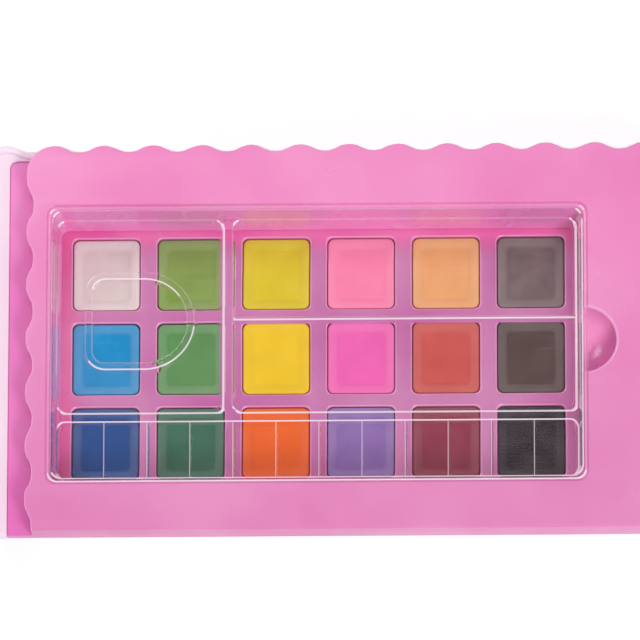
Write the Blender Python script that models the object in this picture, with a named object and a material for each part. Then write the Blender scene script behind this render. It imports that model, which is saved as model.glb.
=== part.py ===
"""A scalloped plastic watercolour case, open: eighteen paint cakes under a clear mixing palette.

Frame: metres, +X to the right along the case, +Y away from the painter, +Z up. The origin is the
centre of the case's underside. The lid lies open on the table to the left of the case.
"""

import math

import bmesh
import bpy

# Running and seating gap between pieces
GAP = 0.0003

# Paint tray and cakes, which set the plan of all that lies round them
CAKE_COLUMNS = 6
CAKE_ROWS = 3
CAKE_LENGTH = 0.0164
CAKE_DEPTH = 0.0181
CAKE_HEIGHT = 0.003
CAKE_CORNER = 0.0016
CAKE_SUNK = 0.0006
CAKE_EDGE = 0.0003
CAKE_BORDER = 0.0027
CAKE_DISH = 0.0009
BRIDGE_X = 0.00496
BRIDGE_Y = 0.004
WELL_GAP = 0.00035
WELL_EDGE = 0.0004
PAN_MARGIN_X = 0.003375
PAN_MARGIN_Y = 0.0023
TRAY_LAP = 0.0015
TRAY_FLOOR = 0.0008
TRAY_CORNER = 0.002

# Scallops: a wave on three sides, with one round bump at each far corner
SCALLOP_RISE = 0.00085
FAR_PITCH = 0.01233
SIDE_PITCH = 0.0139
SIDE_LEAD = 0.0015
SCALLOP_STEPS = 8
CORNER_STEPS = 6
FILLET_STEPS = 3
LEAST_RADIUS = 0.0001

# Insert panel: one thin formed sheet
INSERT_SHEET = 0.001
PLATEAU_RISE = 0.0044
PLATEAU_FAR_SET = 0.0015
PLATEAU_CORNER = 0.007
INSERT_NEAR_CORNER = 0.0005
PLATEAU_EDGE_RADIUS = 0.0006
NEAR_ROUND = 0.002
ROUND_DEPTH_SHARES = (1.0, 0.35, 0.08, 0.0)
BRIM_WIDTH = 0.005075
BRIM_FAR_SET = 0.0019
BRIM_CORNER = 0.0015
BRIM_LAP = 0.0012
APRON_SETBACK = 0.0002
APRON_FALL = 0.0018

# Recess in the insert, which holds the palette and looks down on the paints
RECESS_LEFT_MARGIN = 0.004375
RECESS_RIGHT_MARGIN = 0.020525
RECESS_NEAR_MARGIN = 0.012
RECESS_FAR_MARGIN = 0.01475
RECESS_FALL = 0.0145
RECESS_CORNER = 0.0024
RECESS_DRAFT = 0.0018
REBATE_WIDTH = 0.0009
NOTCH_RADIUS = 0.0087
NOTCH_FLOOR_RADIUS = 0.0045
NOTCH_FALL = 0.007
NOTCH_SET = 0.0012
NOTCH_OFFSET = 0.000375
NOTCH_STEPS = 32

# Case base: a tub with a wide scalloped flange
CASE_CORNER = 0.0073
CASE_NEAR_CORNER = 0.001
LIP_WIDTH = 0.0018
LIP_HEIGHT = 0.0006
SHELF_FALL = 0.0025
FLANGE_THICKNESS = 0.0015
FLANGE_BEVEL = 0.0004
TUB_BESIDE = 0.004475
TUB_NEAR_OVERHANG = 0.0022
TUB_FAR_OVERHANG = 0.0028
TUB_DRAFT = 0.0016
TUB_WALL = 0.0016
TUB_FLOOR = 0.0015
TUB_CORNER = 0.006
TUB_FOOT_BEVEL = 0.0006
STOP_THICKNESS = 0.0012
STOP_HEIGHT = 0.003
STOP_LENGTH = 0.03

# Clear palette, whose bead rests on the recess's rebate
PALETTE_GAP = 0.0003
PALETTE_FAR_GAP = 0.0008
BEAD_HEIGHT = 0.0008
PALETTE_WALL = 0.0002
PALETTE_SIDE_DRAFT = 0.0009
WEB_FALL = 0.0048
POCKET_DEPTH = 0.0027
POCKET_DRAFT = 0.0008
POCKET_CORNER = 0.0022
PALETTE_FLOOR = 0.0009
POCKET_DIVIDER = 0.0015
RIDGE_WIDTH = 0.0008
RIDGE_FROM_FAR = 0.0256
CELL_STRIP_DEPTH = 0.015
CELL_PITCH = 0.010755
FIRST_CELL_LENGTH = 0.01215
CELL_DIVIDER = 0.0005
CELL_DRAFT = 0.0003
CELL_CORNER = 0.0009
THUMB_LENGTH = 0.02355
THUMB_WIDTH = 0.02145
THUMB_LEFT_SET = 0.0091
THUMB_RIGHT_SET = 0.00975
THUMB_FAR_SET = 0.0261
THUMB_CORNER = 0.0028
THUMB_LIP = 0.0021
THUMB_STEPS = 14

# Lid, which opens to the left and lies flat
LID_WALL = 0.0011
LID_TOP = 0.0012
LID_NEAR_LAP = 0.0019
LID_TABLE_GAP = 0.0002
LID_STRAIGHT = 0.005
LID_SHOULDER_INSETS = (0.001, 0.0032)
LID_SHOULDER_FALL_SHARES = (0.14, 0.0)
LID_OPEN_ANGLE = math.radians(180)

# Hinges: moulded knuckles on loose pins
HINGE_CLEARANCE = 0.0009
PIN_RADIUS = 0.001
KNUCKLE_RADIUS = 0.0024
CASE_KNUCKLE = 0.0035
LID_KNUCKLE = 0.006
HINGE_BUMPS = (1, 5)
ARM_BELOW_AXIS = 0.00055
ARM_LAP = 0.0018
ROUND_STEPS = 20

# Clasp on the right, which hangs straight down when it is open
CLASP_BUMP = 3
CLASP_CLEARANCE = 0.0004
CLASP_AXIS_FALL = 0.0024
CLASP_PIN_RADIUS = 0.0008
CLASP_BARREL_RADIUS = 0.0018
CLASP_LENGTH = 0.012
CLASP_EAR = 0.003
CLASP_THICKNESS = 0.0015
CLASP_ABOVE_TOOTH = 0.0019
TOOTH_REACH = 0.0008
TOOTH_HEIGHT = 0.0014
CATCH_INDENT = 0.0012
CATCH_REACH = 0.0008
CATCH_HEIGHT = 0.0014
CATCH_ABOVE_RIM = 0.0026
GRIP_FLARE = 0.0014
GRIP_HEIGHT = 0.0016
CLASP_OPEN_ANGLE = math.radians(180)

# Overrun of a cutter past the face that it leaves by
OVERRUN = 0.002

# Plan, worked out from the cakes outwards
REBATE_FALL = BEAD_HEIGHT + GAP
RECESS_WALL_INSET = REBATE_WIDTH + RECESS_DRAFT
RECESS_LENGTH = (
    CAKE_COLUMNS * CAKE_LENGTH + (CAKE_COLUMNS - 1) * BRIDGE_X + 2 * (PAN_MARGIN_X + RECESS_WALL_INSET)
)
RECESS_DEPTH = CAKE_ROWS * CAKE_DEPTH + (CAKE_ROWS - 1) * BRIDGE_Y + 2 * (PAN_MARGIN_Y + RECESS_WALL_INSET)
HALF_PLATEAU = (RECESS_LEFT_MARGIN + RECESS_LENGTH + RECESS_RIGHT_MARGIN) / 2
PLATEAU_RUN = HALF_PLATEAU + SCALLOP_RISE - PLATEAU_CORNER
FAR_WAVES = round(2 * PLATEAU_RUN / FAR_PITCH)
WAVE_PITCH = 2 * PLATEAU_RUN / FAR_WAVES
HALF_CASE = PLATEAU_RUN + WAVE_PITCH + CASE_CORNER - SCALLOP_RISE
FAR = (RECESS_NEAR_MARGIN + RECESS_DEPTH + RECESS_FAR_MARGIN + PLATEAU_FAR_SET) / 2
NEAR = -FAR
PLATEAU_FAR = FAR - PLATEAU_FAR_SET
FIRST_TIP = PLATEAU_FAR + SCALLOP_RISE - PLATEAU_CORNER - SIDE_LEAD
RECESS_LEFT = -HALF_PLATEAU + RECESS_LEFT_MARGIN
RECESS_NEAR = NEAR + RECESS_NEAR_MARGIN
RECESS = (RECESS_LEFT, RECESS_LEFT + RECESS_LENGTH, RECESS_NEAR, RECESS_NEAR + RECESS_DEPTH)
NOTCH_Y = RECESS_NEAR + RECESS_DEPTH / 2 + NOTCH_OFFSET

# Heights, worked out from the tub's floor upwards
TRAY_BOTTOM = TUB_FLOOR + GAP
CAKE_BOTTOM = TRAY_BOTTOM + TRAY_FLOOR + GAP
CAKE_TOP = CAKE_BOTTOM + CAKE_HEIGHT
TRAY_TOP = CAKE_TOP + CAKE_SUNK
PLATEAU_TOP = TRAY_TOP + RECESS_FALL
WALL_SLOPE = RECESS_DRAFT / (RECESS_FALL - REBATE_FALL)
RIM_HEIGHT = PLATEAU_TOP - PLATEAU_RISE
SHELF_HEIGHT = RIM_HEIGHT - SHELF_FALL
FLANGE_UNDERSIDE = SHELF_HEIGHT - FLANGE_THICKNESS
SEAT = SHELF_HEIGHT + GAP
RIM_CLOSED = RIM_HEIGHT + GAP
LID_HEIGHT = RIM_HEIGHT - LID_TABLE_GAP
LID_TOP_CLOSED = RIM_CLOSED + LID_HEIGHT

# Hinge and clasp, clear of the scallops' tips
HINGE_X = -HALF_CASE - SCALLOP_RISE - HINGE_CLEARANCE - KNUCKLE_RADIUS
HINGE_Z = RIM_HEIGHT + GAP / 2
CLASP_X = HALF_CASE + SCALLOP_RISE + CLASP_CLEARANCE + CLASP_BARREL_RADIUS
CLASP_Y = FIRST_TIP - CLASP_BUMP * SIDE_PITCH
CLASP_Z = RIM_HEIGHT - CLASP_AXIS_FALL
CATCH_EDGE = HALF_CASE + SCALLOP_RISE + CATCH_REACH
CATCH_BOTTOM = RIM_CLOSED + CATCH_ABOVE_RIM
TOOTH_BOTTOM = CATCH_BOTTOM + CATCH_HEIGHT + GAP
CLASP_TOP = TOOTH_BOTTOM + TOOTH_HEIGHT + CLASP_ABOVE_TOOTH

CAKE_COLOURS = (
    ("cake_navy", (0.03, 0.10, 0.30)),
    ("cake_dark_green", (0.06, 0.16, 0.10)),
    ("cake_orange", (0.85, 0.12, 0.02)),
    ("cake_purple", (0.22, 0.09, 0.38)),
    ("cake_maroon", (0.24, 0.02, 0.05)),
    ("cake_black", (0.03, 0.02, 0.025)),
    ("cake_sky_blue", (0.05, 0.30, 0.62)),
    ("cake_green", (0.10, 0.33, 0.10)),
    ("cake_yellow", (0.86, 0.56, 0.0)),
    ("cake_magenta", (0.80, 0.10, 0.40)),
    ("cake_terracotta", (0.55, 0.08, 0.06)),
    ("cake_umber", (0.10, 0.06, 0.06)),
    ("cake_white", (0.75, 0.70, 0.66)),
    ("cake_olive", (0.22, 0.34, 0.08)),
    ("cake_ochre", (0.68, 0.50, 0.03)),
    ("cake_pink", (0.85, 0.18, 0.35)),
    ("cake_peach", (0.80, 0.38, 0.20)),
    ("cake_taupe", (0.19, 0.13, 0.13)),
)


def clear_scene():
    for thing in list(bpy.data.objects):
        bpy.data.objects.remove(thing)


def material(name, colour, roughness, metallic=0.0, transmission=0.0):
    made = bpy.data.materials.new(name)
    made.use_nodes = True
    made.diffuse_color = (*colour, 1.0)
    shader = made.node_tree.nodes["Principled BSDF"]
    shader.inputs["Base Color"].default_value = (*colour, 1.0)
    shader.inputs["Roughness"].default_value = roughness
    shader.inputs["Metallic"].default_value = metallic
    shader.inputs["Transmission Weight"].default_value = transmission
    return made


def arc(centre_x, centre_y, radius, start, end, steps):
    """Points on an arc, both ends included; angles in degrees."""
    angles = [math.radians(start + (end - start) * i / steps) for i in range(steps + 1)]
    return [(centre_x + radius * math.cos(a), centre_y + radius * math.sin(a)) for a in angles]


def rounded(box, radius, inset=0.0, steps=FILLET_STEPS):
    """Anticlockwise rounded rectangle of box (low x, high x, low y, high y), drawn in by inset."""
    x_low, x_high, y_low, y_high = box[0] + inset, box[1] - inset, box[2] + inset, box[3] - inset
    r = max(radius - inset, LEAST_RADIUS)
    return (
        arc(x_high - r, y_low + r, r, -90, 0, steps)
        + arc(x_high - r, y_high - r, r, 0, 90, steps)
        + arc(x_low + r, y_high - r, r, 90, 180, steps)
        + arc(x_low + r, y_low + r, r, 180, 270, steps)
    )


def scalloped(half_length, far, near, corner, near_corner, inset=0.0, near_inset=None):
    """Anticlockwise outline: straight near edge, waves on the other sides, bumps in step with
    those of every other outline, drawn in by inset, and by near_inset at the near edge."""
    near_y = near + (inset if near_inset is None else near_inset)
    side_x = half_length - inset
    far_y = far - inset
    run = half_length + SCALLOP_RISE - corner
    side_bumps = int((FIRST_TIP - near - near_corner) / SIDE_PITCH + 0.5)
    last_valley = FIRST_TIP - (side_bumps - 0.5) * SIDE_PITCH
    radius = max(near_corner - inset, LEAST_RADIUS)
    valley_x = side_x - SCALLOP_RISE
    right = arc(valley_x - radius, near_y + radius, radius, -90, 0, FILLET_STEPS)
    side_steps = round((side_bumps - 0.5) * SCALLOP_STEPS)
    for i in range(side_steps + 1):
        turn = 2 * math.pi * (i / SCALLOP_STEPS - 0.5)
        right.append((side_x + SCALLOP_RISE * math.cos(turn), last_valley + i * SIDE_PITCH / SCALLOP_STEPS))
    right += arc(run, far_y + SCALLOP_RISE - (corner - inset), corner - inset, 0, 90, CORNER_STEPS)
    far_steps = round(run / WAVE_PITCH * SCALLOP_STEPS)
    for i in range(1, far_steps):
        turn = 2 * math.pi * i / SCALLOP_STEPS
        right.append((run - i * WAVE_PITCH / SCALLOP_STEPS, far_y + SCALLOP_RISE * math.cos(turn)))
    middle = [(0.0, far_y + SCALLOP_RISE * math.cos(2 * math.pi * run / WAVE_PITCH))]
    left = [(-x, y) for x, y in reversed(right)]
    return right + middle + left


def case_outline(inset=0.0, near=NEAR, near_inset=None):
    return scalloped(HALF_CASE, FAR, near, CASE_CORNER, CASE_NEAR_CORNER, inset, near_inset)


def plateau_outline(inset=0.0, near_inset=None):
    return scalloped(HALF_PLATEAU, PLATEAU_FAR, NEAR, PLATEAU_CORNER, INSERT_NEAR_CORNER, inset, near_inset)


def round_over(radius, depth):
    """How far a quarter-round edge of this radius is drawn in, at depth below the flat."""
    if depth >= radius:
        return 0.0
    return radius - math.sqrt(radius**2 - (radius - depth) ** 2)


def box_sections(x_low, x_high, y_low, y_high, z_low, z_high):
    outline = [(x_low, y_low), (x_high, y_low), (x_high, y_high), (x_low, y_high)]
    return [(outline, z_low), (outline, z_high)]


def add_loft(mesh, sections, origin):
    """One closed body through sections of (outline, z), lowest first."""
    rings = [
        [mesh.verts.new((x - origin[0], y - origin[1], z - origin[2])) for x, y in outline]
        for outline, z in sections
    ]
    count = len(rings[0])
    for low, high in zip(rings, rings[1:]):
        for i in range(count):
            j = (i + 1) % count
            mesh.faces.new((low[i], low[j], high[j], high[i]))
    mesh.faces.new(list(reversed(rings[0])))
    mesh.faces.new(rings[-1])


def solid(name, bodies, finish=None, origin=(0.0, 0.0, 0.0)):
    """An object of one or more lofted bodies, with its origin at a given point."""
    mesh = bmesh.new()
    for sections in bodies:
        add_loft(mesh, sections, origin)
    data = bpy.data.meshes.new(name)
    mesh.to_mesh(data)
    mesh.free()
    thing = bpy.data.objects.new(name, data)
    bpy.context.scene.collection.objects.link(thing)
    thing.location = origin
    if finish:
        data.materials.append(finish)
    return thing


def rod(name, x, y_low, y_high, z, radius, finish=None, origin=(0.0, 0.0, 0.0)):
    """A round bar along Y, lofted along Z and then turned in its mesh."""
    ring = arc(0.0, 0.0, radius, 0, 360 - 360 / ROUND_STEPS, ROUND_STEPS - 1)
    mesh = bmesh.new()
    add_loft(mesh, [(ring, -y_high), (ring, -y_low)], (0.0, 0.0, 0.0))
    for point in mesh.verts:
        point.co = (point.co.x + x - origin[0], -point.co.z - origin[1], point.co.y + z - origin[2])
    data = bpy.data.meshes.new(name)
    mesh.to_mesh(data)
    mesh.free()
    thing = bpy.data.objects.new(name, data)
    bpy.context.scene.collection.objects.link(thing)
    thing.location = origin
    if finish:
        data.materials.append(finish)
    return thing


def combine(target, tool, operation):
    """Boolean of target with tool, which stays as a hidden helper that moves with the target."""
    tool.hide_render = True
    tool.display_type = "WIRE"
    tool.parent = target
    tool.location = [t - o for t, o in zip(tool.location, target.location)]
    step = target.modifiers.new(tool.name, "BOOLEAN")
    step.operation = operation
    step.solver = "EXACT"
    step.object = tool


def cut(target, *tools):
    for tool in tools:
        combine(target, tool, "DIFFERENCE")


def join(target, *tools):
    for tool in tools:
        combine(target, tool, "UNION")


def recess_inset(depth):
    """How far the recess wall stands in from its opening, at depth below the plateau."""
    return REBATE_WIDTH + (depth - REBATE_FALL) * WALL_SLOPE


def knuckle_spans(middle):
    """Y ranges of the near case knuckle, lid knuckle and far case knuckle of one hinge."""
    half = LID_KNUCKLE / 2
    return (
        (middle - half - GAP - CASE_KNUCKLE, middle - half - GAP),
        (middle - half, middle + half),
        (middle + half + GAP, middle + half + GAP + CASE_KNUCKLE),
    )


def hinge_middles():
    return [FIRST_TIP - bump * SIDE_PITCH for bump in HINGE_BUMPS]


def build_case_base(finish):
    tub_half = HALF_PLATEAU + TUB_BESIDE
    tub = (-tub_half, tub_half, NEAR + TUB_NEAR_OVERHANG, FAR - TUB_FAR_OVERHANG)
    inside = tuple(side + TUB_WALL * sign for side, sign in zip(tub, (1, -1, 1, -1)))
    join_height = (FLANGE_UNDERSIDE + SHELF_HEIGHT) / 2
    base = solid(
        "case_base",
        [
            [
                (rounded(tub, TUB_CORNER, TUB_DRAFT + TUB_FOOT_BEVEL), 0.0),
                (rounded(tub, TUB_CORNER, TUB_DRAFT), TUB_FOOT_BEVEL),
                (rounded(tub, TUB_CORNER), join_height),
            ]
        ],
        finish,
    )
    flange = solid(
        "case_flange",
        [
            [
                (case_outline(), FLANGE_UNDERSIDE),
                (case_outline(), RIM_HEIGHT - FLANGE_BEVEL),
                (case_outline(FLANGE_BEVEL), RIM_HEIGHT),
            ]
        ],
    )
    cavity = solid(
        "case_cavity",
        [
            [
                (rounded(inside, TUB_CORNER - TUB_WALL, TUB_DRAFT), TUB_FLOOR),
                (rounded(inside, TUB_CORNER - TUB_WALL), RIM_HEIGHT + OVERRUN),
            ]
        ],
    )
    lip_step = solid(
        "case_lip_step",
        [
            [
                (case_outline(LIP_WIDTH, near_inset=-OVERRUN), RIM_HEIGHT - LIP_HEIGHT),
                (case_outline(LIP_WIDTH, near_inset=-OVERRUN), RIM_HEIGHT + OVERRUN),
            ]
        ],
    )
    shelf = solid(
        "case_shelf",
        [
            [
                (plateau_outline(-GAP, near_inset=-OVERRUN), SHELF_HEIGHT),
                (plateau_outline(-GAP, near_inset=-OVERRUN), RIM_HEIGHT + OVERRUN),
            ]
        ],
    )
    brim_seat = solid(
        "case_brim_seat",
        [
            [
                (rounded(brim_box(side, -GAP, OVERRUN), BRIM_CORNER + GAP), SHELF_HEIGHT),
                (rounded(brim_box(side, -GAP, OVERRUN), BRIM_CORNER + GAP), RIM_HEIGHT + OVERRUN),
            ]
            for side in (-1, 1)
        ],
    )
    brim_edge = HALF_PLATEAU + BRIM_WIDTH + GAP
    apron_seat = solid(
        "case_apron_seat",
        [
            box_sections(
                -brim_edge,
                brim_edge,
                NEAR - OVERRUN,
                NEAR + APRON_SETBACK + INSERT_SHEET + GAP,
                FLANGE_UNDERSIDE - OVERRUN,
                RIM_HEIGHT + OVERRUN,
            )
        ],
    )
    join(base, flange)
    cut(base, cavity, lip_step, shelf, brim_seat, apron_seat)
    tray = tray_box()
    stop_low = TUB_FLOOR / 2
    stop_high = TUB_FLOOR + STOP_HEIGHT
    middle_y = (tray[2] + tray[3]) / 2
    far_middles = (tray[0] + STOP_LENGTH, tray[1] - STOP_LENGTH)
    half = STOP_LENGTH / 2
    stops = [
        box_sections(x, x + STOP_THICKNESS, middle_y - half, middle_y + half, stop_low, stop_high)
        for x in (tray[0] - GAP - STOP_THICKNESS, tray[1] + GAP)
    ]
    stops += [
        box_sections(x - half, x + half, y, y + STOP_THICKNESS, stop_low, stop_high)
        for x in far_middles
        for y in (tray[2] - GAP - STOP_THICKNESS, tray[3] + GAP)
    ]
    join(base, solid("case_tray_stops", stops))
    for place, middle in zip(("far", "near"), hinge_middles()):
        near_span, _, far_span = knuckle_spans(middle)
        for side, (y_low, y_high) in (("a", near_span), ("b", far_span)):
            arm = solid(
                f"case_arm_{place}_{side}",
                [
                    box_sections(
                        HINGE_X,
                        -HALF_CASE + ARM_LAP,
                        y_low,
                        y_high,
                        HINGE_Z - KNUCKLE_RADIUS,
                        HINGE_Z - ARM_BELOW_AXIS,
                    )
                ],
            )
            barrel = rod(f"case_knuckle_{place}_{side}", HINGE_X, y_low, y_high, HINGE_Z, KNUCKLE_RADIUS)
            join(base, barrel, arm)
        bore = rod(
            f"case_bore_{place}",
            HINGE_X,
            near_span[0] - OVERRUN,
            far_span[1] + OVERRUN,
            HINGE_Z,
            PIN_RADIUS + GAP,
        )
        cut(base, bore)
    half = CLASP_LENGTH / 2 + GAP
    for side, y_low in (("near", CLASP_Y - half - CLASP_EAR), ("far", CLASP_Y + half)):
        y_high = y_low + CLASP_EAR
        ear = solid(
            f"case_ear_{side}",
            [
                box_sections(
                    HALF_CASE - ARM_LAP,
                    CLASP_X,
                    y_low,
                    y_high,
                    CLASP_Z - CLASP_BARREL_RADIUS,
                    CLASP_Z + CLASP_BARREL_RADIUS,
                )
            ],
        )
        ear_end = rod(
            f"case_ear_end_{side}", CLASP_X, y_low, y_high, CLASP_Z, CLASP_BARREL_RADIUS
        )
        join(base, ear_end, ear)
    clasp_bore = rod(
        "case_clasp_bore",
        CLASP_X,
        CLASP_Y - half - CLASP_EAR - OVERRUN,
        CLASP_Y + half + CLASP_EAR + OVERRUN,
        CLASP_Z,
        CLASP_PIN_RADIUS + GAP,
    )
    cut(base, clasp_bore)
    return base


def brim_box(side, inset, near_overrun):
    """The brim strip beside the plateau on the left (side -1) or right (side 1)."""
    outer = HALF_PLATEAU + BRIM_WIDTH - inset
    inner = HALF_PLATEAU - SCALLOP_RISE - INSERT_SHEET - BRIM_LAP + inset
    x_low, x_high = sorted((side * inner, side * outer))
    return (x_low, x_high, NEAR - near_overrun, PLATEAU_FAR - BRIM_FAR_SET - inset)


def build_insert_panel(finish):
    top_rings = []
    for share in ROUND_DEPTH_SHARES:
        depth = share * NEAR_ROUND
        outline = plateau_outline(
            round_over(PLATEAU_EDGE_RADIUS, depth), near_inset=round_over(NEAR_ROUND, depth)
        )
        top_rings.append((outline, PLATEAU_TOP - depth))
    panel = solid("insert_panel", [[(plateau_outline(), SEAT)] + top_rings], finish)
    underside = solid(
        "insert_underside",
        [
            [
                (plateau_outline(INSERT_SHEET), SEAT - OVERRUN),
                (plateau_outline(INSERT_SHEET), PLATEAU_TOP - NEAR_ROUND),
                (
                    plateau_outline(INSERT_SHEET, near_inset=NEAR_ROUND),
                    PLATEAU_TOP - INSERT_SHEET,
                ),
            ]
        ],
    )
    brims = solid(
        "insert_brims",
        [
            [
                (brim_outline(side), SEAT),
                (brim_outline(side), SEAT + INSERT_SHEET),
            ]
            for side in (-1, 1)
        ],
    )
    apron_edge = HALF_PLATEAU + BRIM_WIDTH
    apron = solid(
        "insert_apron",
        [
            box_sections(
                -apron_edge,
                apron_edge,
                NEAR + APRON_SETBACK,
                NEAR + APRON_SETBACK + INSERT_SHEET,
                SEAT - APRON_FALL,
                SEAT + INSERT_SHEET / 2,
            )
        ],
    )
    bottom = TRAY_TOP + GAP
    wall_depth = PLATEAU_TOP - bottom
    step_depth = REBATE_FALL + INSERT_SHEET
    shell = solid(
        "recess_shell",
        [
            [
                (rounded(RECESS, RECESS_CORNER, recess_inset(wall_depth) - INSERT_SHEET), bottom),
                (
                    rounded(RECESS, RECESS_CORNER, recess_inset(step_depth) - INSERT_SHEET),
                    PLATEAU_TOP - step_depth,
                ),
                (rounded(RECESS, RECESS_CORNER, -INSERT_SHEET), PLATEAU_TOP - step_depth),
                (rounded(RECESS, RECESS_CORNER, -INSERT_SHEET), PLATEAU_TOP - INSERT_SHEET / 2),
            ]
        ],
    )
    hollow = solid(
        "recess_hollow",
        [
            [
                (
                    rounded(RECESS, RECESS_CORNER, recess_inset(wall_depth + OVERRUN)),
                    bottom - OVERRUN,
                ),
                (rounded(RECESS, RECESS_CORNER, recess_inset(REBATE_FALL)), PLATEAU_TOP - REBATE_FALL),
                (rounded(RECESS, RECESS_CORNER), PLATEAU_TOP - REBATE_FALL),
                (rounded(RECESS, RECESS_CORNER), PLATEAU_TOP + OVERRUN),
            ]
        ],
    )
    notch_x = RECESS[1] - NOTCH_SET
    slope = (NOTCH_RADIUS - NOTCH_FLOOR_RADIUS) / NOTCH_FALL

    def notch_ring(radius):
        return arc(notch_x, NOTCH_Y, radius, 0, 360 - 360 / NOTCH_STEPS, NOTCH_STEPS - 1)

    notch_shell = solid(
        "notch_shell",
        [
            [
                (
                    notch_ring(NOTCH_FLOOR_RADIUS + INSERT_SHEET),
                    PLATEAU_TOP - NOTCH_FALL - INSERT_SHEET,
                ),
                (
                    notch_ring(NOTCH_RADIUS + INSERT_SHEET),
                    PLATEAU_TOP - INSERT_SHEET / 2,
                ),
            ]
        ],
    )
    notch_hollow = solid(
        "notch_hollow",
        [
            [
                (notch_ring(NOTCH_FLOOR_RADIUS), PLATEAU_TOP - NOTCH_FALL),
                (notch_ring(NOTCH_RADIUS), PLATEAU_TOP),
                (notch_ring(NOTCH_RADIUS + slope * OVERRUN), PLATEAU_TOP + OVERRUN),
            ]
        ],
    )
    cut(panel, underside)
    join(panel, brims, apron, shell, notch_shell)
    cut(panel, hollow, notch_hollow)
    return panel


def brim_outline(side):
    """Brim strip with its far outer corner rounded, and square ends at the near edge."""
    x_low, x_high, y_low, y_high = brim_box(side, 0.0, -APRON_SETBACK)
    r = BRIM_CORNER
    right = side > 0
    far_right = arc(x_high - r, y_high - r, r, 0, 90, FILLET_STEPS) if right else [(x_high, y_high)]
    far_left = [(x_low, y_high)] if right else arc(x_low + r, y_high - r, r, 90, 180, FILLET_STEPS)
    return [(x_low, y_low), (x_high, y_low)] + far_right + far_left


def tray_box():
    inset = RECESS_WALL_INSET - TRAY_LAP
    return (RECESS[0] + inset, RECESS[1] - inset, RECESS[2] + inset, RECESS[3] - inset)


def cake_centres():
    """Centres of the cakes, near row first, each row from the left."""
    middle_x = (RECESS[0] + RECESS[1]) / 2
    middle_y = (RECESS[2] + RECESS[3]) / 2
    return [
        (
            middle_x + (column - (CAKE_COLUMNS - 1) / 2) * (CAKE_LENGTH + BRIDGE_X),
            middle_y + (row - (CAKE_ROWS - 1) / 2) * (CAKE_DEPTH + BRIDGE_Y),
        )
        for row in range(CAKE_ROWS)
        for column in range(CAKE_COLUMNS)
    ]


def cake_box(x, y):
    return (x - CAKE_LENGTH / 2, x + CAKE_LENGTH / 2, y - CAKE_DEPTH / 2, y + CAKE_DEPTH / 2)


def build_pan_tray(finish):
    tray = solid(
        "pan_tray",
        [[(rounded(tray_box(), TRAY_CORNER), TRAY_BOTTOM), (rounded(tray_box(), TRAY_CORNER), TRAY_TOP)]],
        finish,
    )
    well_corner = CAKE_CORNER + WELL_GAP
    well_floor = TRAY_BOTTOM + TRAY_FLOOR
    wells = solid(
        "pan_wells",
        [
            [
                (rounded(cake_box(x, y), CAKE_CORNER, -WELL_GAP), well_floor),
                (rounded(cake_box(x, y), CAKE_CORNER, -WELL_GAP), TRAY_TOP - WELL_EDGE),
                (rounded(cake_box(x, y), CAKE_CORNER, -WELL_GAP - WELL_EDGE), TRAY_TOP),
                (
                    rounded(cake_box(x, y), well_corner + WELL_EDGE, -WELL_GAP - WELL_EDGE),
                    TRAY_TOP + OVERRUN,
                ),
            ]
            for x, y in cake_centres()
        ],
    )
    cut(tray, wells)
    return tray


def build_cakes():
    for (name, colour), (x, y) in zip(CAKE_COLOURS, cake_centres()):
        box = cake_box(x, y)
        solid(
            name,
            [
                [
                    (rounded(box, CAKE_CORNER), CAKE_BOTTOM),
                    (rounded(box, CAKE_CORNER), CAKE_TOP - CAKE_EDGE),
                    (rounded(box, CAKE_CORNER, CAKE_EDGE), CAKE_TOP),
                    (rounded(box, CAKE_CORNER, CAKE_BORDER), CAKE_TOP - CAKE_DISH),
                ]
            ],
            material(name, colour, 0.6),
            (x, y, CAKE_BOTTOM),
        )


def thumb_outline(left, far, outset):
    """A D with its straight side to the left, drawn out by outset all round."""
    radius = THUMB_WIDTH / 2
    middle_y = far - radius
    round_x = left + THUMB_LENGTH - radius
    corner = THUMB_CORNER + outset
    x_low = left - outset
    y_low, y_high = far - THUMB_WIDTH - outset, far + outset
    return (
        arc(round_x, middle_y, radius + outset, -90, 90, THUMB_STEPS)
        + arc(x_low + corner, y_high - corner, corner, 90, 180, FILLET_STEPS)
        + arc(x_low + corner, y_low + corner, corner, 180, 270, FILLET_STEPS)
    )


def palette_box():
    return (
        RECESS[0] + PALETTE_GAP,
        RECESS[1] - PALETTE_GAP,
        RECESS[2] + PALETTE_GAP,
        RECESS[3] - PALETTE_FAR_GAP,
    )


def pocket_sections(box, corner, draft, floor, web):
    return [
        (rounded(box, corner, draft), floor),
        (rounded(box, corner), web),
        (rounded(box, corner), web + OVERRUN),
    ]


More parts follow.
